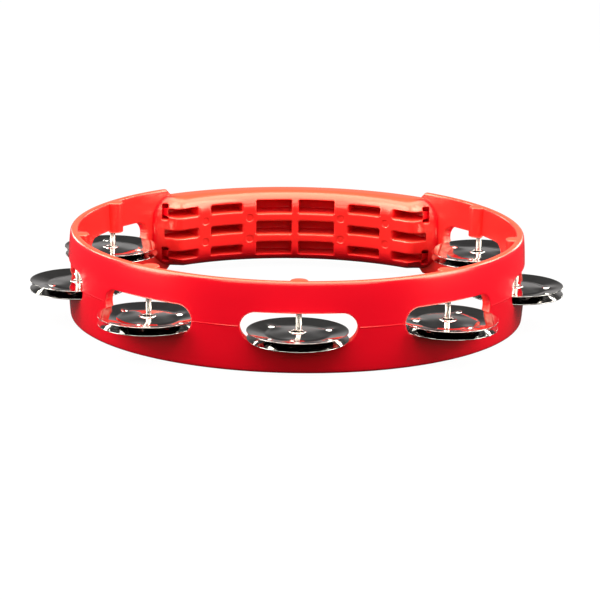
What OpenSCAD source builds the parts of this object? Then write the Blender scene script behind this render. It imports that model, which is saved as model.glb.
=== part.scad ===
// Hand tambourine without a head: a moulded ring with a ribbed grip and seven pairs of loose jingles.
// Millimetres, +Z up. The origin is the ring's centre on the plane of its bottom rim.
// The front is -Y and the grip is at the back, +Y.

/* [Ring] */
// Outer radius at mid height
ring_r = 127; // [120:0.5:140]
// Height from the bottom rim to the top rim
ring_h = 48.8; // [46:0.2:56]
// Wall thickness at mid height
wall_t = 6.2; // [5.4:0.1:7.4]
// Draft of the outer wall, degrees to each rim
draft_out = 2; // [1:0.25:2.5]
// Draft of the inner wall, degrees to each rim
draft_in = 1.6; // [0.75:0.25:2]
// Radius of the rims' outer edge
edge_out = 1.2; // [0.6:0.1:1.4]
// Radius of the rims' inner edge
edge_in = 1.2; // [0.6:0.1:1.4]
// Height of the mould's parting ridge outside
ridge_h = 0.2; // [0.1:0.05:0.3]
// Width of the parting ridge
ridge_w = 0.9; // [0.6:0.1:1.4]

/* [Slots] */
// Height of a jingle slot
slot_h = 15.7; // [15:0.1:17]
// Room between a jingle's edge and the end of its slot
slot_room = 4.1; // [3.8:0.1:5.6]
// Angle between neighbouring pairs of jingles
pair_step = 40; // [39:0.25:40.5]

/* [Pins and bosses] */
// Diameter of a jingle pin
pin_d = 3; // [2.4:0.1:3.4]
// Distance of the pin circle inside the ring's outer radius
pin_inset = 4.7; // [4.2:0.1:5.2]
// Depth of the pin's lower end inside its hole
pin_recess = 1; // [0.5:0.1:2]
// Plastic left above the blind end of the pin hole
pin_cover = 4; // [3:0.1:6]
// Radial room of the pressed-in pin
pin_fit = 0.01; // [0.01:0.01:0.03]
// Radius of a pin boss
boss_r = 4.8; // [4.2:0.1:5.4]
// Distance of the boss centre inside the ring's outer radius
boss_inset = 6.2; // [5.8:0.1:6.8]
// How far a boss reaches past the slot's edge
boss_drop = 1.6; // [1:0.1:1.9]
// Radius of the boss's end edges
boss_edge = 0.8; // [0.4:0.1:1]

/* [Jingles] */
// Radius of a jingle
jingle_r = 26.5; // [24:0.25:27]
// Thickness of the jingle sheet
sheet_t = 0.4; // [0.3:0.05:0.5]
// Radius of the crease between floor and outer band
crease_r = 16.8; // [15:0.2:18.5]
// Rise of the floor from the middle to the crease
floor_rise = 0.95; // [0.6:0.05:1.1]
// Rise of the outer band from the crease to the rim
band_rise = 1.3; // [0.9:0.05:1.5]
// Radius of the hole that the pin runs through
hole_r = 2.9; // [2.4:0.05:3.1]
// Radius of the raised collar round the hole
collar_r = 4.5; // [4.1:0.1:4.8]
// Height of the collar above the floor
collar_h = 0.55; // [0.3:0.05:0.7]
// Radius of a pressed dimple, seen from above
dimple_r = 2; // [1.5:0.1:2.4]
// Height of a pressed dimple
dimple_h = 0.8; // [0.5:0.1:1]
// Room under a resting jingle and between the two of a pair
rest_gap = 0.2; // [0.1:0.05:0.4]
// Room left at the top of the jingles' travel
stop_gap = 0.3; // [0.2:0.05:0.6]

/* [Grip] */
// Radius of the grip's inner face
grip_r = 106; // [104:0.25:108]
// Step down from the rims to the grip
grip_step = 3.5; // [2.5:0.1:4.5]
// Radius of the grip's shoulders
shoulder_r = 10; // [8:0.25:11]
// Radius of the grip's outer edges
grip_edge = 2.5; // [1.5:0.1:3]
// Half angle of the grip between its two round ends
grip_half = 38.1; // [37:0.1:38.5]
// Radius of the corners where the bars turn outward
turn_r = 6; // [5:0.1:7]
// Angle that the bars turn through before they run straight into the wall
turn_angle = 58; // [52:0.5:64]
// Half angle from the back to the foot of the step
step_half = 37; // [36.5:0.1:38]
// Depth at which the grip is rooted below the ring's outer surface
root_inset = 3; // [2.5:0.1:3.5]
// Slope of the step, run over rise
step_slope = 0.9; // [0.5:0.05:1.2]
// Depth of the pockets in the grip
pocket_depth = 12; // [9:0.25:13]
// Draft of the pocket walls, degrees
pocket_draft = 2; // [1:0.25:3]
// Distance between the rows of pockets
row_pitch = 12.5; // [12:0.1:13]
// Height of the large pockets beside the middle rib
pocket_tall = 7.6; // [6.5:0.1:8.2]
// Height of the other pockets
pocket_low = 4.8; // [4:0.1:5.6]
// Width of the middle rib
rib_thin = 4.1; // [3:0.1:5]
// Width of the ribs that carry the ejector marks
rib_wide = 8.6; // [7:0.1:9.5]
// Width of a large pocket
pocket_w_mid = 21; // [19:0.25:21.5]
// Width of a pocket in the next column
pocket_w_next = 19.6; // [18:0.25:20]
// Width of a pocket in the end column
pocket_w_end = 17.2; // [16.4:0.1:17.6]
// Width of the corner slots at the grip's ends
corner_w = 3.2; // [2.6:0.1:3.6]
// How far a corner slot reaches past the end pocket
corner_past = 1.1; // [0.8:0.1:1.4]
// Height of the corner slots
corner_h = 8.8; // [7:0.1:9]
// Depth of the corner slots below the grip's inner face
corner_depth = 13.4; // [12.6:0.1:13.8]
// Diameter of the ejector marks
mark_d = 4.7; // [3:0.1:5.5]
// Depth of the ejector marks
mark_depth = 0.35; // [0.2:0.05:0.5]

/* [Hidden] */
$fn = 96;
arc_steps = 5;
over = 10;
nest = 0.08;
tuck = 0.2;
lap = 0.5;
turn_more = 30;
red = [0.90, 0.07, 0.13];
steel = [0.80, 0.80, 0.80];

mid_z = ring_h / 2;
inner_r = ring_r - wall_t;
pin_c = ring_r - pin_inset;
pin_r = pin_d / 2;
pin_top = ring_h - pin_cover;
pin_chamfer = pin_r / 5;
boss_c = ring_r - boss_inset;
boss_column_r = (inner_r + ring_r) / 2 - edge_out / 3;
boss_hang_r = inner_r + edge_in;
slot_half = jingle_r + slot_room;
slot_end_r = slot_h / 2;
slot_flat = slot_half - slot_end_r;

// A lower jingle at rest lies with its rim on the round ends of its slot.
rim_drop = sqrt(pow(slot_end_r, 2) - pow(max(0, jingle_r - slot_flat), 2));
dish_h = floor_rise + band_rise;
lower_z = mid_z - rim_drop + rest_gap + dish_h + sheet_t;
upper_z = lower_z + rest_gap;
upper_rim_z = upper_z + dish_h + sheet_t;
boss_end_z = mid_z + slot_h / 2 - boss_drop;
travel_rim = mid_z + rim_drop - upper_rim_z;
travel_collar = boss_end_z - upper_z - sheet_t - collar_h;
jingle_travel = min(travel_rim, travel_collar) - stop_gap;
echo(jingle_travel = jingle_travel);

dimple_count = 3;
dimple_turn = 20;
dimple_ball = (pow(dimple_r, 2) + pow(dimple_h, 2)) / (2 * dimple_h);
land_r = collar_r + 0.4;

grip_half_h = mid_z - grip_step;
root_r = ring_r - root_inset;
turn_c = grip_r + turn_r;
pocket_floor = grip_r + pocket_depth;
corner_floor = grip_r + corner_depth;

NAMES = ["back_left", "left", "front_left", "front", "front_right", "right", "back_right"];
LAST = len(NAMES) - 1;

// Angle of a pair from the front, positive to the right
function pair_angle(i) = (i - LAST / 2) * pair_step;

// Points on an arc, its angles counted from +X
function arc(c, r, from, to) =
    [for (i = [0 : arc_steps])
        let (a = from + (to - from) * i / arc_steps) c + r * [cos(a), sin(a)]];

// The same points mirrored below the middle plane, in the opposite order
function below(points) =
    [for (i = [len(points) - 1 : -1 : 0]) [points[i][0], -points[i][1]]];

// Degrees that a width takes up on the grip's inner face
function on_grip(w) = w / grip_r * 180 / PI;

// Angles from the back at which the grip's pockets begin and end
mid_from = on_grip(rib_thin / 2);
mid_to = mid_from + on_grip(pocket_w_mid);
next_from = mid_to + on_grip(rib_wide);
next_to = next_from + on_grip(pocket_w_next);
end_from = next_to + on_grip(rib_wide);
end_to = end_from + on_grip(pocket_w_end);
corner_to = end_to + on_grip(corner_past);
corner_from = corner_to - on_grip(corner_w);

// Turns its children from the front to an angle round the ring
module at(angle) {
    rotate([0, 0, angle]) children();
}

// Carries a section round the back at mid height, between two angles from +Y, on both sides
module round_back(from, to) {
    translate([0, 0, mid_z]) for (side = [0, 1])
        mirror([side, 0, 0]) rotate([0, 0, 90 - to]) rotate_extrude(angle = to - from) children();
}

// Repeats its children above and below mid height
module both_halves() {
    children();
    translate([0, 0, ring_h]) mirror([0, 0, 1]) children();
}

// The ring's section above mid height, from the outside to the inside
function ring_half() =
    let (h = mid_z,
         out_x = ring_r - (h - edge_out) * tan(draft_out) - edge_out / cos(draft_out),
         in_x = inner_r + (h - edge_in) * tan(draft_in) + edge_in / cos(draft_in))
    concat([[ring_r, ridge_w / 2]],
           arc([out_x, h - edge_out], edge_out, draft_out, 90),
           arc([in_x, h - edge_in], edge_in, 90, 180 - draft_in));

module ring_blank() {
    translate([0, 0, mid_z]) rotate_extrude()
        polygon(concat([[ring_r + ridge_h, 0]], ring_half(), [[inner_r, 0]], below(ring_half())));
}

// The grip's section: a flat inner face with round shoulders, rooted in the wall
function grip_half_section() =
    concat(arc([grip_r + shoulder_r, grip_half_h - shoulder_r], shoulder_r, 180, 90),
           [[root_r, grip_half_h]]);

// A closed section from its upper half
function whole(upper) = concat(below(upper), upper);

// Upper half of the turned section, measured inward from the axis of the turn, with a little taken off it
function turn_half(less, to) =
    arc([turn_r - shoulder_r, grip_half_h - shoulder_r], shoulder_r - less, 0, to);

// One end of the grip: the bars turn outward about an upright axis and run straight into the wall
module grip_end() {
    slant = 90 - turn_angle;
    run = (root_r - turn_c + turn_r) / sin(turn_angle);
    block = turn_half(3 * tuck, 90);
    translate([0, 0, mid_z]) at(180 + grip_half) translate([0, -turn_c, 0])
        rotate([0, 0, slant - turn_more]) rotate_extrude(angle = turn_angle + 2 * turn_more)
            polygon(whole(turn_half(tuck, acos((shoulder_r - turn_r) / (shoulder_r - tuck)))));
    intersection() {
        translate([0, 0, mid_z]) at(180 + grip_half) translate([0, -turn_c, 0]) intersection() {
            rotate([0, 0, slant]) translate([0, lap, 0]) rotate([90, 0, 0]) linear_extrude(run + lap)
                polygon(whole(concat(block, [[-run / 2, grip_half_h - 3 * tuck]])));
            translate([-lap / 2, -2 * run, -ring_h]) cube([3 * run, 3 * run, 2 * ring_h]);
        }
        cylinder(r = root_r - lap, h = ring_h);
    }
}

module grip_blank() {
    translate([0, 0, mid_z]) rotate([0, 0, 90 - grip_half]) rotate_extrude(angle = 2 * grip_half)
        polygon(whole(grip_half_section()));
    for (side = [0, 1])
        mirror([side, 0, 0]) grip_end();
}

// What comes off the rim above the grip, with a rounded outer edge and sloping ends
module step_cut() {
    top = mid_z + over;
    floor_z = grip_half_h + nest;
    out_x = ring_r - (floor_z - grip_edge) * tan(draft_out) - grip_edge / cos(draft_out);
    run = 2 * over;
    rise = run / step_slope;
    difference() {
        translate([0, 0, mid_z]) rotate([0, 0, 90 - step_half - over])
            rotate_extrude(angle = 2 * (step_half + over))
                polygon(concat([[inner_r - over / 2, top], [inner_r - over / 2, floor_z]],
                               arc([out_x, floor_z - grip_edge], grip_edge, 90, draft_out),
                               [[ring_r + over, floor_z - grip_edge], [ring_r + over, top]]));
        for (side = [0, 1])
            mirror([side, 0, 0]) at(180 + step_half) translate([0, -inner_r + over, mid_z + grip_half_h])
                rotate([90, 0, 0]) linear_extrude(wall_t + 3 * over)
                    polygon([[-run, -rise], [3 * run, -rise], [3 * run, rise], [run, rise]]);
    }
}

// A slot with round ends, cut straight through the wall
module slot_cut() {
    translate([0, -(inner_r - over), mid_z]) rotate([90, 0, 0]) linear_extrude(wall_t + 2 * over) {
        square([2 * slot_flat, slot_h], center = true);
        for (side = [-1, 1])
            translate([side * slot_flat, 0]) circle(slot_end_r);
    }
}

// A column beside the wall that holds one end of a pin and hangs a little into the slot
module boss() {
    slot_top = mid_z + slot_h / 2;
    intersection() {
        translate([0, -boss_c, 0]) rotate_extrude()
            polygon(concat([[0, boss_end_z]],
                           arc([boss_r - boss_edge, boss_end_z + boss_edge], boss_edge, -90, 0),
                           arc([boss_r - boss_edge, ring_h - boss_edge], boss_edge, 0, 90),
                           [[0, ring_h]]));
        union() {
            translate([0, 0, slot_top]) cylinder(r = boss_column_r, h = ring_h);
            cylinder(r = boss_hang_r, h = ring_h);
        }
    }
}

// The hole that a pin is pressed into from below
module pin_hole() {
    translate([0, -pin_c, -over]) cylinder(r = pin_r + pin_fit, h = pin_top + pin_fit + over);
}

// The section of a row of pockets, a little narrower at its floor
module pocket_section(height, floor_r) {
    outer = height / 2 + over * tan(pocket_draft);
    inner = height / 2 - (floor_r - grip_r) * tan(pocket_draft);
    polygon([[grip_r - over, -outer], [floor_r, -inner], [floor_r, inner], [grip_r - over, outer]]);
}

// Three rows in three columns on each side of the middle rib
module pockets() {
    for (row = [-1 : 1]) {
        round_back(mid_from, mid_to) translate([0, row * row_pitch]) pocket_section(pocket_tall, pocket_floor);
        round_back(next_from, next_to) translate([0, row * row_pitch]) pocket_section(pocket_low, pocket_floor);
        round_back(end_from, end_to) translate([0, row * row_pitch]) pocket_section(pocket_low, pocket_floor);
    }
    for (row = [-1, 1])
        round_back(corner_from, corner_to) translate([0, row * row_pitch]) pocket_section(corner_h, corner_floor);
}

// Round marks of the mould's ejectors where the bars cross the wide ribs
module ejector_marks() {
    for (angle = [(mid_to + next_from) / 2, (next_to + end_from) / 2], side = [-1, 1], row = [-1, 1])
        at(180 + side * angle) translate([0, -grip_r - mark_depth, mid_z + row * row_pitch / 2])
            rotate([-90, 0, 0]) cylinder(d = mark_d, h = over);
}

module frame() {
    color(red) difference() {
        union() {
            difference() {
                union() {
                    ring_blank();
                    grip_blank();
                }
                both_halves() step_cut();
                for (i = [0 : LAST])
                    at(pair_angle(i)) slot_cut();
                pockets();
                ejector_marks();
            }
            for (i = [0 : LAST])
                at(pair_angle(i)) both_halves() boss();
        }
        for (i = [0 : LAST])
            at(pair_angle(i)) pin_hole();
    }
}

// A steel pin, chamfered at both ends
module pin(i) {
    color(steel) at(pair_angle(i)) translate([0, -pin_c, 0]) rotate_extrude()
        polygon([[0, pin_recess], [pin_r - pin_chamfer, pin_recess], [pin_r, pin_recess + pin_chamfer],
                 [pin_r, pin_top - pin_chamfer], [pin_r - pin_chamfer, pin_top], [0, pin_top]]);
}

// Height of a jingle's underside over its middle, at a radius
function dish(r) =
    r < crease_r ? floor_rise * max(0, r - land_r) / (crease_r - land_r)
                 : floor_rise + band_rise * (r - crease_r) / (jingle_r - crease_r);

// A pressed sheet disc, open side up: flat middle, raised collar, sloping floor and outer band
module dish_blank() {
    steps = [hole_r, land_r, crease_r, jingle_r];
    rotate_extrude()
        polygon(concat([for (r = steps) [r, dish(r)]],
                       [[jingle_r, dish(jingle_r) + sheet_t], [crease_r, dish(crease_r) + sheet_t],
                        [land_r, sheet_t], [collar_r, sheet_t + collar_h / 2],
                        [(hole_r + collar_r) / 2, sheet_t + collar_h], [hole_r, sheet_t + collar_h / 2]]));
}

// The balls that press the dimples round the crease, above or below the sheet
module dimple_balls(lift) {
    for (k = [0 : dimple_count - 1])
        rotate([0, 0, dimple_turn + k * 360 / dimple_count])
            translate([crease_r, 0, dish(crease_r) + lift + dimple_h - dimple_ball]) sphere(dimple_ball);
}

module jingle() {
    color(steel) difference() {
        union() {
            dish_blank();
            intersection() {
                dimple_balls(sheet_t);
                translate([0, 0, dish(crease_r) + sheet_t / 2])
                    cylinder(r = jingle_r, h = dimple_h + sheet_t);
            }
        }
        difference() {
            dimple_balls(0);
            translate([0, 0, -over]) cylinder(r = jingle_r, h = over + dish(crease_r) - dimple_ball);
        }
    }
}

module upper_jingle(i) {
    at(pair_angle(i)) translate([0, -pin_c, upper_z]) jingle();
}

// The lower jingle of a pair lies the other way up
module lower_jingle(i) {
    at(pair_angle(i)) translate([0, -pin_c, lower_z]) mirror([0, 0, 1]) jingle();
}

frame();
for (i = [0 : LAST]) {
    pin(i);
    lower_jingle(i);
    upper_jingle(i);
}
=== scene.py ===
import math

import bmesh
import bpy
import numpy as np
from mathutils import Matrix, Vector


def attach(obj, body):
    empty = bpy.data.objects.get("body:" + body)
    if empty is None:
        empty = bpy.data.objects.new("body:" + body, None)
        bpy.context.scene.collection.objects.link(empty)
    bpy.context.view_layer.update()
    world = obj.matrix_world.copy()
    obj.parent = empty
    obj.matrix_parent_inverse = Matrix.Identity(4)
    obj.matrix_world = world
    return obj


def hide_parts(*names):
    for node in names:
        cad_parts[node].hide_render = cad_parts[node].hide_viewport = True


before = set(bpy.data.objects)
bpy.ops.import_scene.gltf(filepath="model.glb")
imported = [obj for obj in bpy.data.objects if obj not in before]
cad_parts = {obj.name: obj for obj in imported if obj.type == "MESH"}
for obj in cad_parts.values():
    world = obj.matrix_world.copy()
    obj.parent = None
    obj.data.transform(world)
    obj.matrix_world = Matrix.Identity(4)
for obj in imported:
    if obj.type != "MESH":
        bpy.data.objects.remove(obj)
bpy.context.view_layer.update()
print("frame loaded:", len(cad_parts), "nodes")

mm = 0.001
pairStep = 40  # degrees from one pair of jingles to the next, the middle pair at the front
pairNames = ["back_left", "left", "front_left", "front", "front_right", "right", "back_right"]
pairAngles = {name: math.radians((k - len(pairNames) // 2) * pairStep) for k, name in enumerate(pairNames)}


# quads between neighbouring rows and columns of a grid of points
def gridQuads(rows, cols, closeRows, closeCols):
    i, j = np.meshgrid(np.arange(rows - (not closeRows)), np.arange(cols - (not closeCols)), indexing="ij")
    nextI, nextJ = (i + 1) % rows, (j + 1) % cols
    corners = [i * cols + j, i * cols + nextJ, nextI * cols + nextJ, nextI * cols + j]
    return np.stack(corners, axis=-1).reshape(-1, 4)


# one mesh from patches (points in millimetres, closed rows, closed columns), welded where they meet
def makePiece(name, patches, material, body, weld=0.002, crease=38, paintedShade=None):
    points, quads, start = [], [], 0
    for grid, closeRows, closeCols in patches:
        rows, cols = grid.shape[:2]
        points.append(grid.reshape(-1, 3))
        quads.append(gridQuads(rows, cols, closeRows, closeCols) + start)
        start += rows * cols
    points, quads = np.concatenate(points) * mm, np.concatenate(quads)
    mesh = bpy.data.meshes.new(name)
    mesh.vertices.add(len(points))
    mesh.vertices.foreach_set("co", points.ravel())
    mesh.loops.add(quads.size)
    mesh.loops.foreach_set("vertex_index", quads.ravel().astype(np.int32))
    mesh.polygons.add(len(quads))
    mesh.polygons.foreach_set("loop_start", np.arange(0, quads.size, 4, dtype=np.int32))
    mesh.update(calc_edges=True)
    # the per-point share of painted shade, read by the material
    if paintedShade is not None:
        mesh.attributes.new("paintedShade", "FLOAT", "POINT").data.foreach_set("value", paintedShade.astype(np.float32))
    bm = bmesh.new()
    bm.from_mesh(mesh)
    bmesh.ops.remove_doubles(bm, verts=bm.verts, dist=weld * mm)
    bmesh.ops.dissolve_degenerate(bm, edges=bm.edges, dist=weld * mm * 0.5)
    bmesh.ops.recalc_face_normals(bm, faces=bm.faces)
    openEdges = sum(e.is_boundary for e in bm.edges)
    bm.to_mesh(mesh)
    bm.free()
    mesh.polygons.foreach_set("use_smooth", np.ones(len(mesh.polygons), dtype=bool))
    mesh.set_sharp_from_angle(angle=math.radians(crease))
    mesh.materials.append(material)
    piece = bpy.data.objects.new(name, mesh)
    bpy.context.scene.collection.objects.link(piece)
    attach(piece, body)
    print("piece", name, len(mesh.polygons), "faces,", openEdges, "open edges")
    return piece


# points at a radius, an angle from the front (positive to the right) and a height
def aroundRing(radius, angle, z):
    return np.stack(np.broadcast_arrays(radius * np.sin(angle), -radius * np.cos(angle), z), axis=-1)


# points drawn at the front, turned to an angle round the ring
def turned(points, angle):
    x, y = points[..., 0], points[..., 1]
    c, s = math.cos(angle), math.sin(angle)
    return np.stack([x * c - y * s, x * s + y * c, points[..., 2]], axis=-1)


def lifted(points, z):
    return points + np.array([0, 0, z])


# the two ends of a tube of points, each drawn in to its middle
def endCaps(grid):
    ends = (grid[:, 0], grid[:, -1])
    return [(np.stack([end, np.broadcast_to(end.mean(axis=0), end.shape)]), False, True) for end in ends]


# materials
def newMaterial(name):
    material = bpy.data.materials.new(name)
    material.use_nodes = True
    tree = material.node_tree
    tree.nodes.clear()
    output = tree.nodes.new("ShaderNodeOutputMaterial")
    shader = tree.nodes.new("ShaderNodeBsdfPrincipled")
    tree.links.new(shader.outputs[0], output.inputs[0])
    return material, tree, shader


def addNode(tree, kind, inputs=None, **settings):
    node = tree.nodes.new(kind)
    for key, value in settings.items():
        setattr(node, key, value)
    for key, value in (inputs or {}).items():
        if isinstance(value, bpy.types.NodeSocket):
            tree.links.new(value, node.inputs[key])
        else:
            node.inputs[key].default_value = value
    return node


def ramp(tree, factor, stops):
    node = addNode(tree, "ShaderNodeValToRGB", {"Fac": factor})
    for k, (place, colour) in enumerate(stops):
        stop = node.color_ramp.elements[k] if k < 2 else node.color_ramp.elements.new(place)
        stop.position, stop.color = place, (*colour, 1)
    return node.outputs["Color"]


# a colour socket mixed towards a plain colour
def blend(tree, factor, colour, other):
    node = addNode(tree, "ShaderNodeMix", {"Factor": factor}, data_type="RGBA")
    tree.links.new(colour, node.inputs[6])
    node.inputs[7].default_value = (*other, 1)
    return node.outputs[2]


# a value carried from one span to another
def carried(tree, value, old=(0, 1), new=(0, 1), **settings):
    inputs = {"Value": value, "From Min": old[0], "From Max": old[1], "To Min": new[0], "To Max": new[1]}
    return addNode(tree, "ShaderNodeMapRange", inputs, **settings).outputs[0]


def clouds(tree, place, scale, detail):
    inputs = {"Vector": place, "Scale": scale, "Detail": detail}
    return addNode(tree, "ShaderNodeTexNoise", inputs).outputs["Fac"]


def relief(tree, height, strength, distance):
    inputs = {"Height": height, "Strength": strength, "Distance": distance}
    return addNode(tree, "ShaderNodeBump", inputs).outputs[0]


plastic = {
    # the inside colour is the outside red painted lighter and more orange: painted light on the inner faces
    "outside": (0.800, 0.0010, 0.0148), "inside": (0.850, 0.0195, 0.0180), "insideLightSpan": (0.1228, 0.1248),
    # the top colour is a painted highlight, blended in where a face looks up
    "top": (0.880, 0.0700, 0.0330), "topHighlightSpan": (0.45, 0.98), "deepShade": (0.720, 0.0012, 0.0110),
    "cloudScale": 18.0, "cloudDetail": 1.0, "cloud": (0.97, 1.02),
    "peelScale": 900.0, "peelDetail": 2.0, "peelStrength": 0.25, "peelHeight": 0.00002,
    # the deep colour above and the lower reflection value are painted shade in the pockets, the corner slots,
    # the crease at the wall and low on the grip
    "gloss": 0.21, "glossTint": (1.0, 0.90, 0.64), "reflection": (1.0, 0.3),  # on the skin, in a recess
}


# satin red: by distance from the ring's axis the inner faces are painted lighter and more orange as painted
# light, faces that look up get a paler painted highlight, and painted shade darkens the pockets, the corner
# slots, the crease at the wall and the bottom of the grip, with faint clouds and a fine peel
def redPlastic():
    material, tree, shader = newMaterial("redPlastic")
    place = addNode(tree, "ShaderNodeTexCoord").outputs["Object"]
    normal = addNode(tree, "ShaderNodeNewGeometry").outputs["Normal"]
    paintedShade = addNode(tree, "ShaderNodeAttribute", attribute_name="paintedShade").outputs["Fac"]
    flat = addNode(tree, "ShaderNodeVectorMath", {0: place, 1: (1, 1, 0)}, operation="MULTIPLY")
    away = addNode(tree, "ShaderNodeVectorMath", {0: flat.outputs[0]}, operation="LENGTH")
    # the inner faces are painted lighter and more orange by distance from the axis: painted light
    side = carried(tree, away.outputs["Value"], plastic["insideLightSpan"], interpolation_type="SMOOTHSTEP")
    facing = addNode(tree, "ShaderNodeSeparateXYZ", {"Vector": normal})
    # faces that look up are painted paler: a painted highlight
    topHighlight = carried(tree, facing.outputs["Z"], plastic["topHighlightSpan"], interpolation_type="SMOOTHSTEP")
    colour = ramp(tree, side, [(0.0, plastic["inside"]), (1.0, plastic["outside"])])
    colour = blend(tree, topHighlight, colour, plastic["top"])
    # painted shade: pockets, corner slots, the crease at the wall and low on the grip
    colour = blend(tree, paintedShade, colour, plastic["deepShade"])
    cloud = clouds(tree, place, plastic["cloudScale"], plastic["cloudDetail"])
    shade = carried(tree, cloud, new=plastic["cloud"], clamp=False)
    tinted = addNode(tree, "ShaderNodeVectorMath", {0: colour, 1: shade}, operation="MULTIPLY")
    tree.links.new(tinted.outputs[0], shader.inputs["Base Color"])
    peel = clouds(tree, place, plastic["peelScale"], plastic["peelDetail"])
    bump = relief(tree, peel, plastic["peelStrength"], plastic["peelHeight"])
    tree.links.new(bump, shader.inputs["Normal"])
    # reflection is turned down with the painted shade
    shine = carried(tree, paintedShade, new=plastic["reflection"])
    tree.links.new(shine, shader.inputs["Specular IOR Level"])
    shader.inputs["Roughness"].default_value = plastic["gloss"]
    shader.inputs["Specular Tint"].default_value = (*plastic["glossTint"], 1)
    return material


steel = {
    "bright": (0.80, 0.80, 0.79), "dull": (0.66, 0.65, 0.64), "gloss": (0.04, 0.09),
    "pinBright": (0.78, 0.74, 0.68), "pinDull": (0.66, 0.62, 0.56), "pinGloss": (0.14, 0.20),
    "tarnishScale": 90.0, "tarnishDetail": 4.0, "tarnishSpan": (0.35, 0.6), "glossSpan": (0.3, 0.7),
    "spinScale": 2600.0, "spinDetail": 2.0, "spinStrength": 0.2, "spinHeight": 0.0000008,
}


# bright metal with faint duller clouds and a very fine grain
def brightSteel(name, gloss, dull, bright):
    material, tree, shader = newMaterial(name)
    place = addNode(tree, "ShaderNodeTexCoord").outputs["Object"]
    cloud = clouds(tree, place, steel["tarnishScale"], steel["tarnishDetail"])
    colour = ramp(tree, cloud, list(zip(steel["tarnishSpan"], (dull, bright))))
    tree.links.new(colour, shader.inputs["Base Color"])
    rough = carried(tree, cloud, steel["glossSpan"], gloss[::-1])
    tree.links.new(rough, shader.inputs["Roughness"])
    grain = clouds(tree, place, steel["spinScale"], steel["spinDetail"])
    bump = relief(tree, grain, steel["spinStrength"], steel["spinHeight"])
    tree.links.new(bump, shader.inputs["Normal"])
    shader.inputs["Metallic"].default_value = 1.0
    return material


redFinish = redPlastic()
jingleFinish = brightSteel("jingleSteel", steel["gloss"], steel["dull"], steel["bright"])
pinFinish = brightSteel("pinSteel", steel["pinGloss"], steel["pinDull"], steel["pinBright"])
print("finishes ready")

# the moulded ring
ring = {
    "outerR": 127.0, "height": 48.8, "wall": 6.2, "draftOut": 2.0, "draftIn": 1.6,
    "edgeOut": 1.9, "edgeIn": 1.2, "crown": 0.5, "crownFrom": 13.0,
    "slotHalf": 30.4, "slotH": 15.7, "slotPoint": 0.4, "slotFillet": 0.7,
    "gripStep": 3.5, "gripEdge": 2.5, "stepAngles": [36.7, 37.0, 37.25, 38.25, 38.5, 38.8],
    "stepRise": [0, 0.08, 0.6, 2.95, 3.4, 3.5],
    "topCells": 56, "sideCells": 24, "backCells": 64, "faceRows": 11, "faceSpread": 1.25,
    "filletRows": 4, "tunnelRows": 5, "edgeRows": 6, "pathCorner": 50,  # degrees, where the path's ends start
}
midZ = ring["height"] / 2
innerR = ring["outerR"] - ring["wall"]
tanOut, tanIn = (math.tan(math.radians(ring[k])) for k in ("draftOut", "draftIn"))


# radius of the outer or inner wall at a height from the middle: it leans back to both rims, and the outer
# wall is also crowned near them
def wallR(z, outside):
    if not outside:
        return innerR + np.abs(z) * tanIn
    past = np.clip((np.abs(z) - ring["crownFrom"]) / (midZ - ring["crownFrom"]), 0, None)
    return ring["outerR"] - np.abs(z) * tanOut - past ** 2 * ring["crown"]


# closed path round a slot with its outward directions: flat top, ends of two arcs that meet in a blunt point
def slotPath():
    half, dip = ring["slotH"] / 2, ring["slotPoint"]
    big = half + dip
    tip, corner = math.asin(dip / big), math.radians(ring["pathCorner"])
    flat = ring["slotHalf"] - math.sqrt(big ** 2 - dip ** 2)
    s = np.linspace(-1, 1, ring["topCells"] + 1) * (flat + big * (math.pi / 2 - corner))
    turn = np.clip(np.abs(s) - flat, 0, None) / big
    top = np.stack([np.sign(s) * (np.minimum(np.abs(s), flat) + big * np.sin(turn)), big * np.cos(turn) - dip,
                    np.sign(s) * np.sin(turn), np.cos(turn)], axis=-1)
    a = np.linspace(corner, tip, ring["sideCells"] // 2 + 1)
    upper = np.stack([flat + big * np.cos(a), big * np.sin(a) - dip, np.cos(a), np.sin(a)], axis=-1)
    upper[-1, 2:] = (1, 0)
    lower = upper[::-1] * [1, -1, 1, -1]
    rightEnd = np.concatenate([upper, lower[1:]])
    return np.concatenate([top[:-1], rightEnd[:-1], top[:-1] * -1, rightEnd[:-1] * -1])


# rim section from the outer wall over the top to the inner wall: two round edges and the flat between
def rimSection(h, edgeOut):
    rows = np.linspace(0, 1, ring["edgeRows"] + 1)[:, None]
    dIn, eIn = math.radians(ring["draftIn"]), ring["edgeIn"]
    low = h - edgeOut
    dOut = np.arctan(wallR(low - 0.5, True) - wallR(low + 0.5, True))  # lean of the wall over one millimetre
    outC = wallR(low + edgeOut * np.sin(dOut), True) - edgeOut * np.cos(dOut)
    inC = innerR + (h - eIn) * tanIn + eIn / math.cos(dIn)
    a = dOut + (math.pi / 2 - dOut) * rows
    b = math.pi / 2 + (math.pi / 2 - dIn) * rows
    r = np.concatenate([outC + edgeOut * np.cos(a), (outC + inC)[None] / 2, inC + eIn * np.cos(b)])
    z = np.concatenate([h - edgeOut + edgeOut * np.sin(a), h[None], h - eIn + eIn * np.sin(b)])
    return r, z


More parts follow.
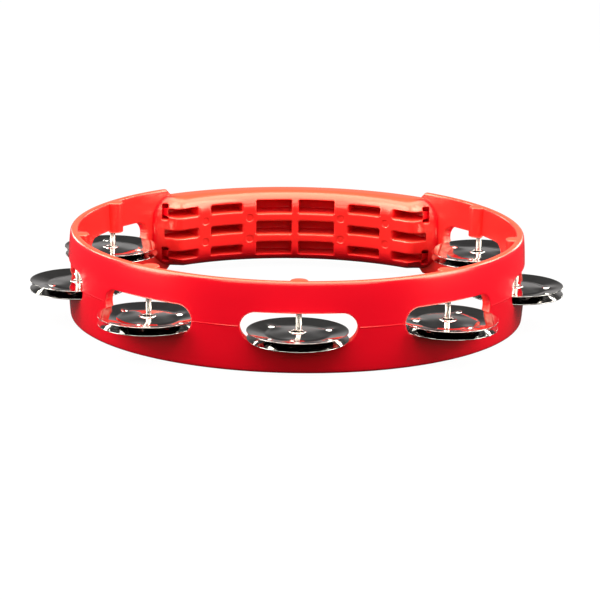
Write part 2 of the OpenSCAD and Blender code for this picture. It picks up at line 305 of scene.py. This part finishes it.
# one slot's share of the wall, outside, through the slot and inside: the slot's path with its round edge
# grows to the border of the share
def slotSector(angle):
    x, z, nx, nz = slotPath().T
    half = math.radians(pairStep / 2)
    rimZ = rimSection(np.array([midZ]), np.array([ring["edgeOut"]]))[1]
    beta = np.linspace(0, math.pi / 2, ring["filletRows"] + 1)[:, None]
    grow, sink = ring["slotFillet"] * (1 - np.cos(beta)), ring["slotFillet"] * (1 - np.sin(beta))
    fx, fz = x + grow * nx, z + grow * nz
    along = np.linspace(-half, half, ring["topCells"] + 1)[:-1]
    ends = np.full(ring["sideCells"], half)
    edgeA = np.concatenate([along, ends, -along, -ends])
    t = np.linspace(0, 1, ring["faceRows"] + 1)[1:, None] ** ring["faceSpread"]
    faces = []
    for outside, sign, border in ((True, 1, rimZ[0, 0]), (False, -1, rimZ[-1, 0])):
        side = np.linspace(border, -border, ring["sideCells"] + 1)[:-1]
        level = np.full(ring["topCells"], border)
        edgeZ = np.concatenate([level, side, -level, -side])
        fillet = np.stack([fx, sign * sink - np.sqrt(wallR(fz, outside) ** 2 - fx ** 2), fz], axis=-1)
        startA = np.arcsin(fx[-1] / wallR(fz[-1], outside))
        faceA, faceZ = startA + t * (edgeA - startA), fz[-1] + t * (edgeZ - fz[-1])
        faces.append(np.concatenate([fillet, aroundRing(wallR(faceZ, outside), faceA, faceZ)]))
    outer, inner = faces
    t = np.linspace(0, 1, ring["tunnelRows"] + 1)[1:-1, None, None]
    tunnel = outer[0] + t * (inner[0] - outer[0])
    grid = np.concatenate([outer[::-1], tunnel, inner])
    return lifted(turned(grid, angle), midZ), False, True


# rims over given angles, top and bottom
def rimPatches(angles, h, edgeOut):
    r, z = rimSection(h, edgeOut)
    return [(aroundRing(r, angles, midZ + s * z), False, False) for s in (1, -1)]


# the wall behind the grip: lower there, with a sloping step at each end
def backWall():
    steps = np.array(ring["stepAngles"])
    phi = np.unique(np.concatenate([np.linspace(-pairStep, pairStep, ring["backCells"] + 1), steps, -steps]))
    rise = np.interp(np.abs(phi), steps, ring["stepRise"])
    share = rise / ring["gripStep"]
    h = midZ - ring["gripStep"] + rise
    edgeOut = ring["gripEdge"] + (ring["edgeOut"] - ring["gripEdge"]) * share
    angles = math.pi - np.radians(phi)
    patches = rimPatches(angles, h, edgeOut)
    z = rimSection(h, edgeOut)[1]
    t = np.linspace(1, -1, ring["sideCells"] + 1)[:, None]
    for outside, border in ((True, z[0]), (False, z[-1])):
        rows = t * border
        patches.append((aroundRing(wallR(rows, outside), angles, midZ + rows), False, False))
    return patches


def mouldedRing():
    patches = backWall()
    half = math.radians(pairStep / 2)
    for angle in pairAngles.values():
        patches.append(slotSector(angle))
        angles = angle + np.linspace(-half, half, ring["topCells"] + 1)
        h = np.full(len(angles), midZ)
        patches += rimPatches(angles, h, np.full(len(angles), ring["edgeOut"]))
    piece = makePiece("ring", patches, redFinish, "frame")
    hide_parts("frame")


mouldedRing()

# the fine ridge that the mould's two halves leave at mid height, on the posts and behind the grip
parting = {
    "high": 0.16, "half": 0.4, "under": 0.01, "sunk": 0.15, "rows": 9,
    "posts": (-100, -60, -20, 20, 60, 100), "back": 180, "slotClear": 14.4,  # degrees
}


# a low bead carried round the outer wall: its height falls as a cosine to both edges
def partingRidge():
    t = np.linspace(-1, 1, parting["rows"])
    bead = parting["high"] * np.cos(t * math.pi / 2) - parting["under"]
    rise = np.concatenate([bead, [-parting["sunk"], -parting["sunk"]]])
    z = np.concatenate([t, [1, -1]]) * parting["half"]
    radius = wallR(z, True) + rise
    spans = [(middle, pairStep / 2 - parting["slotClear"]) for middle in parting["posts"]]
    spans.append((parting["back"], pairStep * 1.5 - parting["slotClear"]))
    patches = []
    for middle, half in spans:
        angles = np.radians(middle + np.linspace(-half, half, int(half * 2) + 3))
        grid = aroundRing(radius[:, None], angles, midZ + z[:, None])
        patches += [(grid, True, False)] + endCaps(grid)
    piece = makePiece("partingRidge", patches, redFinish, "frame")
    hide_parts("frame")


partingRidge()

# the grip
grip = {
    "faceR": 106.0, "halfH": 20.92, "shoulder": 10.0, "buryR": 122.6, "backR": 123.6,
    "backRows": (122, 120, 118), "endAngle": 44.9, "endStep": 0.07,
    "endAngles": [37.6, 38.4, 39.2, 39.8, 40.4, 40.8, 41.15, 41.6, 42.2, 42.9, 43.4, 43.75, 43.95, 44.1],
    "endRadii": [106, 106.05, 106.4, 107.0, 108.2, 109.7, 111.5, 113.5, 115.2, 116.8, 118.0, 119.4, 121.2,
                 123.4],
    "endLag": ([0, 6, 10.5, 14.9, 17.6, 19.5, 21], [0, 0, 0.25, 1.2, 2.5, 3.7, 5.2]), "joinPower": 2.5,
    "pocketFloor": 120.3, "rowPitch": 12.5,
    "columns": [(1.1, 12.4, 7.6), (17.1, 27.7, 4.8), (32.4, 60.0, 4.8)],  # start and stop in degrees, height
    "rowEnds": (74.3, 76.4, 74.3),
    "corner": (74.6, 78.4, 8.9, 12.75), "cornerDepth": 8.5, "cornerWithin": 110,  # start, stop, height, level
    # the entries on this line paint shade: where the grip's end runs into the wall, towards the bottom of the
    # grip, and in the pockets from a share of their depth
    "creaseShadeRadii": (116.0, 120.0), "creaseShade": 0.9, "low": ([-17, -6], [0.9, 0]), "paintedShadeFrom": 0.35,
    "edgeAt": [-1.1, -0.7, -0.4, -0.18, -0.05, 0.02, 0.12, 0.42, 0.6, 0.9],
    "edgeShare": [0, 0.005, 0.017, 0.038, 0.067, 0.1, 0.22, 0.96, 0.99, 1],
    "marks": (14.7, 29.9), "markR": 2.35, "markEdge": 0.3, "markDepth": 0.35, "markZ": 6.25,
    "markReach": 2.7, "markLines": 13, "shoulderLines": 12,
    "widestAngle": 1.0, "widestRise": 1.2, "closest": 0.008,
}
gripArc = math.radians(1) * grip["faceR"]  # millimetres of the inner face in a degree


# share of a pocket's depth at a distance inside its edge: a round lip, a steep wall and a round foot
def pocketStep(inside):
    return np.interp(inside, grip["edgeAt"], grip["edgeShare"])


# smooth curve through given points, cubic between neighbours
def smoothCurve(x, xs, ys):
    xs, ys = np.array(xs, dtype=float), np.array(ys, dtype=float)
    slope = np.gradient(ys, xs)
    k = np.clip(np.searchsorted(xs, x) - 1, 0, len(xs) - 2)
    h = xs[k + 1] - xs[k]
    t = np.clip((x - xs[k]) / h, 0, 1)
    return ((1 + 2 * t) * (1 - t) ** 2 * ys[k] + t * (1 - t) ** 2 * h * slope[k]
            + t * t * (3 - 2 * t) * ys[k + 1] + t * t * (t - 1) * h * slope[k + 1])


# radius of the grip's skin before its pockets: a D section carried round the back whose ends turn outward
# and run into the wall, sooner towards the top and bottom; the two depths are added as powers
def gripSkin(phi, z):
    away = np.clip(np.abs(z) - (grip["halfH"] - grip["shoulder"]), 0, grip["shoulder"])
    shoulder = grip["shoulder"] - np.sqrt(grip["shoulder"] ** 2 - away ** 2)
    lag = smoothCurve(np.abs(z), *grip["endLag"])
    end = smoothCurve(np.abs(phi) + lag, grip["endAngles"], grip["endRadii"]) - grip["faceR"]
    power = grip["joinPower"]
    both = (shoulder ** power + np.clip(end, 0, None) ** power) ** (1 / power)
    return np.minimum(grip["faceR"] + both, grip["buryR"])


# radius of the grip with its pockets and ejector marks, the setback of its corner slots and the share of
# painted shade in the pockets and slots, where the grip's end runs into the wall and towards the bottom; the
# pockets of a row end at a distance from the middle plane, and the slots are cut straight back
def gripRadius(phi, z):
    skin = gripSkin(phi, z)
    a = np.abs(phi)
    aside = skin * np.sin(np.radians(a))
    deepShade = np.zeros(skin.shape)
    for start, stop, tall in grip["columns"]:
        across = np.minimum(a - start, stop - a) * gripArc
        for row, end in zip((-1, 0, 1), grip["rowEnds"]):
            upright = pocketStep(tall / 2 - np.abs(z - row * grip["rowPitch"]))
            deepShade = np.maximum(deepShade, pocketStep(np.minimum(across, end - aside)) * upright)
    out = skin + np.clip(grip["pocketFloor"] - skin, 0, None) * deepShade
    start, stop, tall, level = grip["corner"]
    upright = pocketStep(tall / 2 - np.abs(np.abs(z) - level))
    slot = pocketStep(np.minimum(aside - start, stop - aside)) * upright
    markSpan = [grip["markR"] - grip["markEdge"], grip["markR"]]
    for angle in grip["marks"]:
        far = np.hypot((a - angle) * gripArc, np.abs(z) - grip["markZ"])
        out = out + grip["markDepth"] * np.interp(far, markSpan, [1, 0])
    # painted shade where the grip's skin runs back into the wall at its ends, and towards the bottom of the
    # grip
    creaseShade = np.interp(skin, grip["creaseShadeRadii"], [0, grip["creaseShade"]])
    creaseShade = np.maximum(creaseShade, np.interp(z, *grip["low"]))
    # painted shade share of the pockets and corner slots, joined with that of the crease and the bottom
    paintedShade = np.clip(np.maximum(deepShade, slot) / grip["paintedShadeFrom"], 0, 1)
    return out, slot * grip["cornerDepth"], np.maximum(paintedShade, creaseShade)


# grid lines that follow every edge, with no gap wider than a step
def filledLines(lines, widest):
    lines = np.unique(np.round(np.concatenate(lines), 4))
    lines = lines[np.insert(np.diff(lines) > grip["closest"], 0, True)]
    more = [np.linspace(a, b, int(math.ceil((b - a) / widest)) + 1)[1:-1]
            for a, b in zip(lines[:-1], lines[1:]) if b - a > widest]
    return np.sort(np.concatenate([lines] + more))


# angles and heights of the grip's grid, each the same on both sides of the middle
def gripLines():
    lip = np.array(grip["edgeAt"])
    mark = np.linspace(-grip["markReach"], grip["markReach"], grip["markLines"])
    starts, stops, talls = zip(*grip["columns"])
    lines = [np.array([0.0, grip["endAngle"]]),
             np.arange(grip["endAngles"][0], grip["endAngle"], grip["endStep"])]
    lines += [start + lip / gripArc for start in starts]
    lines += [stop - lip / gripArc for stop in stops[:-1]]
    lines += [angle + mark / gripArc for angle in grip["marks"]]
    angles = filledLines(lines, grip["widestAngle"])
    arch = np.sin(np.linspace(0, math.pi / 2, grip["shoulderLines"]))
    shoulder = grip["halfH"] - grip["shoulder"] + grip["shoulder"] * arch
    lines = [np.array([0.0]), shoulder, grip["markZ"] + mark]
    for tall in set(talls):
        lines += [row + s * (tall / 2 - lip) for row in (0, grip["rowPitch"]) for s in (-1, 1)]
    tall, level = grip["corner"][2:]
    lines += [level + s * (tall / 2 - lip) for s in (-1, 1)]
    heights = filledLines([np.abs(line) for line in lines], grip["widestRise"])
    return [np.concatenate([-half[:0:-1], half]) for half in (angles, heights)]


def gripBody():
    phi, z = gripLines()
    skin, setback, deepShade = gripRadius(phi[None, :], z[:, None])
    flat = np.maximum(np.array([grip["backR"], *grip["backRows"]])[:, None], skin[-1])
    flat[0] = grip["backR"]
    rows = np.concatenate([flat, skin, flat[::-1]])
    heights = np.concatenate([np.full(len(flat), z[0]), z, np.full(len(flat), z[-1])])
    grid = aroundRing(rows, math.pi - np.radians(phi), midZ + heights[:, None])
    inner = slice(len(flat), len(flat) + len(skin))
    aside, back = np.abs(grid[inner, :, 0]), grid[inner, :, 1]
    farthest = np.sqrt(grip["pocketFloor"] ** 2 - np.minimum(aside, grip["cornerWithin"]) ** 2)
    cut = np.minimum(back + setback, np.maximum(farthest, back))
    grid[inner, :, 1] = np.where(setback > 0, cut, back)
    # painted shade share, on the grip's inner face only
    paintedShade = np.zeros(grid.shape[:2])
    paintedShade[inner] = deepShade
    caps = endCaps(grid)
    paintedShade = np.concatenate([paintedShade.ravel(), np.zeros(sum(cap[..., 0].size for cap, *closed in caps))])
    piece = makePiece("grip", [(grid, True, False)] + caps, redFinish, "frame", crease=50,
                      paintedShade=paintedShade)
    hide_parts("frame")


gripBody()

# bosses beside the wall that hold the pins
boss = {
    "centreR": 120.8, "radius": 4.8, "drop": 1.2, "edge": 0.8, "hangTo": 1.2, "columnTo": 2.7, "proud": 0.015,
    "jointAbove": 0.2, "jointStep": 0.05, "turns": 72, "edgeRows": 5,
}


# a round column cut flat where it meets the wall: polar distance is the smaller of the radius and the flat
def bossColumn():
    a = np.linspace(0, 2 * math.pi, boss["turns"], endpoint=False)
    facing = np.clip(np.cos(a), 1e-6, None)
    hang, column = (np.minimum(boss["radius"], np.where(np.cos(a) > 0, boss[k] / facing, boss["radius"]))
                    for k in ("hangTo", "columnTo"))
    low = ring["slotH"] / 2 - boss["drop"]
    top = midZ + boss["proud"]
    joint = ring["slotH"] / 2 + ring["slotFillet"] + boss["jointAbove"]
    beta = np.linspace(0, math.pi / 2, boss["edgeRows"] + 1)[:, None]
    inset, up = boss["edge"] * (1 - np.sin(beta)), boss["edge"] * (1 - np.cos(beta))
    reach = [np.zeros((1, len(a))), np.clip(hang - inset, 0, None), hang[None], column[None],
             np.clip(column - inset[::-1], 0, None), np.zeros((1, len(a)))]
    z = [np.array([[low]]), low + up, np.array([[joint]]), np.array([[joint + boss["jointStep"]]]),
         top - up[::-1], np.array([[top]])]
    reach, z = np.concatenate(reach), np.concatenate(z)
    return np.stack(np.broadcast_arrays(reach * np.sin(a), -boss["centreR"] - reach * np.cos(a), z), axis=-1)


def pinBosses():
    column = bossColumn()
    patches = []
    for angle in pairAngles.values():
        for side in (1, -1):
            patches.append((lifted(turned(column * [1, 1, side], angle), midZ), False, True))
    piece = makePiece("pinBosses", patches, redFinish, "frame")
    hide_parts("frame")


pinBosses()

# jingles: slips are along the wall and outward, droops are for the upper and the lower disc
jingle = {
    "radius": 26.5, "sheet": 0.4, "crease": 17.2, "flare": 0.06,
    "bends": [(4.8, 0.3, -0.07), (14.6, 0.5, -0.14), (17.0, 0.6, 0.17)],  # place, reach, slope after it
    "hole": 2.9, "collar": 4.3, "collarH": 0.5, "collarUnder": 0.55, "pinR": 122.3,
    "dimples": 3, "dimpleR": 2.2, "dimpleH": 0.8, "skirt": 0.6, "skirtR": 3.8,
    "rimRound": 0.2, "rimPower": 0.4, "rimAngles": [75, 55, 30, 0, -30, -55, -75],
    "holeShares": (0.15, 0.5, 0.85), "dimpleSpan": 8.2, "dimpleLines": 17, "plainLines": 40,
    "collarMiddle": 0.65, "collarReach": 0.64, "collarLines": 15, "outerLines": 9,
    "rows": [(4.25, 5.2, 4), (5.2, 13.4, 15), (13.4, 16.0, 15), (16.0, 17.6, 17), (17.6, 19.2, 8)],
    "upper": {"z": 21.5, "side": 1, "slip": 1.0, "turn": 0},
    "lower": {"z": 19.3, "side": -1, "slip": 0.6, "turn": 47},
    "turns": {"back_left": 101, "left": 95, "front_left": 17, "front": 20, "front_right": 68, "right": 116,
              "back_right": 13},
    "slips": {"back_left": (0.3, 1.1), "left": (-0.3, -0.3), "front_left": (0.5, 1.15),
              "front": (-0.6, 0.75), "front_right": (-0.55, 0.9), "right": (0.4, -0.3),
              "back_right": (-0.3, -1.0)},
    "droops": {"back_left": (0.0, 0.5), "left": (0.0, 0.5), "front_left": (0.6, 1.0), "front": (0.2, 0.7),
               "front_right": (1.6, 1.6), "right": (0.0, 0.5), "back_right": (-1.5, -1.0)},
}


# height of the disc: a floor that falls gently from the hole, a steeper ring and a band that rises to the
# rim; each bend is rounded over a short reach
def dishHeight(r):
    height, slope = 0, 0
    for place, reach, after in jingle["bends"]:
        past = r - place
        bend = np.where(np.abs(past) < reach, (past + reach) ** 2 / (4 * reach), np.clip(past, 0, None))
        height = height + (after - slope) * bend
        slope = after
    return height + jingle["flare"] * np.clip(r - place, 0, None) ** 2 / (2 * (jingle["radius"] - place))


# height of the collar at the hole: flat with round edges
def collarHeight(r):
    middle, reach = (jingle["hole"] + jingle["collar"]) / 2, (jingle["collar"] - jingle["hole"]) / 2
    return jingle["collarH"] * np.sqrt(np.clip(1 - ((r - middle) / reach) ** 6, 0, 1))


# radii of the disc's rows, close together at the collar and the crease
def jingleRows():
    turn = np.linspace(-1, 1, jingle["collarLines"]) * math.pi / 2
    rows = [jingle["hole"] + jingle["collarMiddle"] + jingle["collarReach"] * np.sin(turn)]
    rows += [np.linspace(*span) for span in jingle["rows"]]
    last, rim = jingle["rows"][-1][1], jingle["radius"] - jingle["rimRound"]
    rows.append(np.linspace(last, rim, jingle["outerLines"]))
    return np.unique(np.concatenate(rows).round(4))


# a revolved sheet: top from the hole to the rim, round rim, underside back to the hole, with pressed dimples
def jingleGrid(phase):
    starts = math.radians(phase) + np.arange(jingle["dimples"]) * 2 * math.pi / jingle["dimples"]
    step = 2 * math.pi / jingle["dimples"]
    near = np.radians(np.linspace(-jingle["dimpleSpan"], jingle["dimpleSpan"], jingle["dimpleLines"]))
    rest = np.linspace(near[-1], step + near[0], jingle["plainLines"])[1:-1]
    a = (starts[:, None] + np.concatenate([near, rest])).ravel()
    r = jingleRows()
    up = dishHeight(r)
    edge = np.radians(jingle["rimAngles"])
    half, power = jingle["sheet"] / 2, jingle["rimPower"]
    rimR = r[-1] + jingle["rimRound"] * np.cos(edge) ** power
    rimZ = up[-1] + half + half * np.sign(np.sin(edge)) * np.abs(np.sin(edge)) ** power
    shares = np.array(jingle["holeShares"])
    holeR = np.full(len(shares), jingle["hole"])
    topZ = up + jingle["sheet"] + collarHeight(r)
    underZ = up + jingle["collarUnder"] * collarHeight(r)
    holeZ = underZ[0] + (topZ[0] - underZ[0]) * shares
    rr = np.concatenate([r, rimR, r[::-1], holeR])[:, None]
    zz = np.concatenate([topZ, rimZ, underZ[::-1], holeZ])[:, None]
    x, y = rr * np.cos(a), rr * np.sin(a)
    ball = (jingle["dimpleR"] ** 2 + jingle["dimpleH"] ** 2) / (2 * jingle["dimpleH"])
    press = 0
    for start in starts:
        far2 = (x - jingle["crease"] * math.cos(start)) ** 2 + (y - jingle["crease"] * math.sin(start)) ** 2
        bulge = np.sqrt(np.clip(ball ** 2 - far2, 0, None)) - (ball - jingle["dimpleH"])
        press = press + np.clip(bulge, 0, None)
        press = press + jingle["skirt"] * np.exp(-far2 / (2 * jingle["skirtR"] ** 2))
    return np.stack([x, y, zz + press], axis=-1)


# the loose discs have slipped a little on their pins and lean in or out
def jinglePairs():
    for name, angle in pairAngles.items():
        phase = jingle["turns"][name] - math.degrees(angle)
        along, outward = jingle["slips"][name]
        for kind, droop in zip(("upper", "lower"), jingle["droops"][name]):
            disc = jingle[kind]
            grid = jingleGrid(phase + disc["turn"]) * [1, 1, disc["side"]]
            grid[..., 2] += math.tan(math.radians(droop)) * grid[..., 1]
            grid = grid + [along * disc["slip"], -jingle["pinR"] - outward * disc["slip"], disc["z"]]
            node = f"{kind}_jingle_{name}"
            piece = makePiece(f"{kind}Jingle_{name}", [(turned(grid, angle), True, True)], jingleFinish, node,
                              crease=45)
            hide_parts(node)


jinglePairs()

# pins stay as drawn, with a steel finish
for name in pairNames:
    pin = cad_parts["pin_" + name]
    pin.data.materials.clear()
    pin.data.materials.append(pinFinish)
print("pins finished")

# camera at the photograph's place, in millimetres and degrees, with its focal length in pixels
view = {
    "place": (2.13, -1520.94, 397.94), "aim": (2.13, 0, 7.24), "turn": -0.79, "roll": 0.904,
    "focal": 2806.9, "pixels": 600, "sensor": 36, "clip": (0.05, 50),
}


def placeCamera():
    spin = Matrix.Rotation(math.radians(view["turn"]), 3, "Z")
    place, aim = spin @ Vector(view["place"]) * mm, spin @ Vector(view["aim"]) * mm
    data = bpy.data.cameras.new("camera")
    data.sensor_width = view["sensor"]
    data.lens = view["focal"] * view["sensor"] / view["pixels"]
    data.clip_start, data.clip_end = view["clip"]
    camera = bpy.data.objects.new("camera", data)
    bpy.context.scene.collection.objects.link(camera)
    roll = Matrix.Rotation(math.radians(view["roll"]), 3, "Z").to_quaternion()
    turn = (aim - place).to_track_quat("-Z", "Y") @ roll
    camera.matrix_world = Matrix.Translation(place) @ turn.to_matrix().to_4x4()
    bpy.context.scene.camera = camera


placeCamera()
print("camera placed")

# floor, light and background
studio = {
    "floor": 3.0, "floorDrop": 0.0002, "floorColour": (0.9, 0.9, 0.9), "floorBounce": (0.015, 0.015, 0.015),
    "floorShade": 0.03, "ambient": 0.05,
    "backdropStops": [(-1.0, 0.03), (-0.4, 0.06), (-0.2, 0.10), (-0.06, 0.18), (0.0, 0.28), (0.05, 0.34),
                      (0.14, 0.30), (0.22, 0.24), (0.28, 0.15), (0.33, 0.10), (0.41, 0.06), (0.56, 0.055),
                      (0.70, 0.05), (1.0, 0.03)],
    "backdropTint": (1.0, 0.97, 0.96), "front": (0.060, 0.035, 0.020), "frontSpan": (-0.65, -0.35),
    "lampTint": (1, 0.96, 0.88), "lampAim": (0, 0, 0.03), "ownAims": {"overhead": (0, -0.05, 0)},
    "lamps": [("overhead", (0, -0.05, 1.2), (1.4, 0.7), 13.0),  # name, place, size and power
              ("frontBank", (0, -0.75, 1.0), (1.5, 0.7), 12.0),
              ("backBank", (0, 0.5, 1.15), (1.4, 0.4), 8.5),
              ("leftBox", (-0.95, -0.15, 0.9), (0.7, 1.0), 14.5),
              ("rightBox", (0.95, -0.15, 0.9), (0.7, 1.0), 14.5),
              ("backLeft", (-0.97, 0.33, 1.12), (0.5, 0.4), 4.4),
              ("backRight", (0.97, 0.33, 1.12), (0.5, 0.4), 4.4),
              ("leftEdge", (-0.72, 1.13, 0.38), (0.35, 0.25), 2.2),
              ("leftMiddle", (-0.93, 0.73, 0.77), (0.45, 0.35), 4.6),
              ("rightEdge", (0.72, 1.13, 0.38), (0.35, 0.25), 2.2),
              ("rightMiddle", (0.93, 0.73, 0.77), (0.45, 0.35), 4.6),
              ("leftLow", (-1.25, -0.3, 0.4), (0.6, 0.7), 7.0),
              ("rightLow", (1.25, -0.3, 0.4), (0.6, 0.7), 6.0),
              ("frontStrip", (0, -1.7, 0.62), (1.3, 0.42), 3.4),
              ("frontLeft", (-0.9, -1.45, 0.66), (0.45, 0.35), 2.4),
              ("frontRight", (0.9, -1.45, 0.66), (0.45, 0.35), 2.2)],
}


# background: white to the camera; what metal sees is pale near the horizon behind and dark above and in front
def whiteWorld():
    world = bpy.data.worlds.new("studio")
    bpy.context.scene.world = world
    world.use_nodes = True
    world.cycles.sampling_method = "NONE"
    tree = world.node_tree
    tree.nodes.clear()
    path = addNode(tree, "ShaderNodeLightPath")
    direction = addNode(tree, "ShaderNodeTexCoord").outputs["Generated"]
    way = addNode(tree, "ShaderNodeSeparateXYZ", {"Vector": direction})
    up = carried(tree, way.outputs["Z"], (-1, 1))
    tint = studio["backdropTint"]
    stops = [(0.5 + place / 2, [value * t for t in tint]) for place, value in studio["backdropStops"]]
    backdrop = ramp(tree, up, stops)
    behind = carried(tree, way.outputs["Y"], studio["frontSpan"])
    seen = addNode(tree, "ShaderNodeMix", {"Factor": behind}, data_type="RGBA")
    seen.inputs[6].default_value = (*studio["front"], 1)
    tree.links.new(backdrop, seen.inputs[7])
    sharp = addNode(tree, "ShaderNodeMath", {0: path.outputs["Is Glossy Ray"],
                                             1: path.outputs["Is Transmission Ray"]}, operation="MAXIMUM")
    ambient = addNode(tree, "ShaderNodeBackground", {"Color": (1, 1, 1, 1), "Strength": studio["ambient"]})
    reflected = addNode(tree, "ShaderNodeBackground", {"Color": seen.outputs[2], "Strength": 1.0})
    white = addNode(tree, "ShaderNodeBackground", {"Color": (1, 1, 1, 1), "Strength": 1.0})
    first = addNode(tree, "ShaderNodeMixShader", {0: sharp.outputs[0], 1: ambient.outputs[0],
                                                  2: reflected.outputs[0]})
    last = addNode(tree, "ShaderNodeMixShader", {0: path.outputs["Is Camera Ray"], 1: first.outputs[0],
                                                 2: white.outputs[0]})
    output = addNode(tree, "ShaderNodeOutputWorld")
    tree.links.new(last.outputs[0], output.inputs[0])


# floor: nearly white to the camera with a faint shadow, and dark to the light that bounces off it
def paleFloor():
    size = studio["floor"]
    mesh = bpy.data.meshes.new("floor")
    corners = [(-size, -size, 0), (size, -size, 0), (size, size, 0), (-size, size, 0)]
    mesh.from_pydata(corners, [], [(0, 1, 2, 3)])
    material = bpy.data.materials.new("floor")
    material.use_nodes = True
    tree = material.node_tree
    tree.nodes.clear()
    path = addNode(tree, "ShaderNodeLightPath")
    dull = addNode(tree, "ShaderNodeBsdfDiffuse", {"Color": (*studio["floorBounce"], 1)})
    matt = addNode(tree, "ShaderNodeBsdfDiffuse", {"Color": (*studio["floorColour"], 1)})
    glow = addNode(tree, "ShaderNodeEmission", {"Color": (1, 1, 1, 1), "Strength": 1.0})
    seen = addNode(tree, "ShaderNodeMixShader", {0: studio["floorShade"], 1: glow.outputs[0],
                                                 2: matt.outputs[0]})
    mix = addNode(tree, "ShaderNodeMixShader", {0: path.outputs["Is Camera Ray"], 1: dull.outputs[0],
                                                2: seen.outputs[0]})
    tree.links.new(mix.outputs[0], addNode(tree, "ShaderNodeOutputMaterial").inputs[0])
    mesh.materials.append(material)
    floor = bpy.data.objects.new("floor", mesh)
    floor.location.z = -studio["floorDrop"]
    floor.visible_glossy = False
    bpy.context.scene.collection.objects.link(floor)


def softLamps():
    for name, place, size, power in studio["lamps"]:
        data = bpy.data.lights.new(name, "AREA")
        data.shape, data.size, data.size_y = "RECTANGLE", size[0], size[1]
        data.energy, data.color = power, studio["lampTint"]
        aim = studio["ownAims"].get(name, studio["lampAim"])
        lamp = bpy.data.objects.new(name, data)
        lamp.location = place
        lamp.rotation_euler = (Vector(aim) - Vector(place)).to_track_quat("-Z", "Y").to_euler()
        bpy.context.scene.collection.objects.link(lamp)


whiteWorld()
paleFloor()
softLamps()
bpy.context.scene.view_settings.view_transform = "Standard"
print("studio ready")
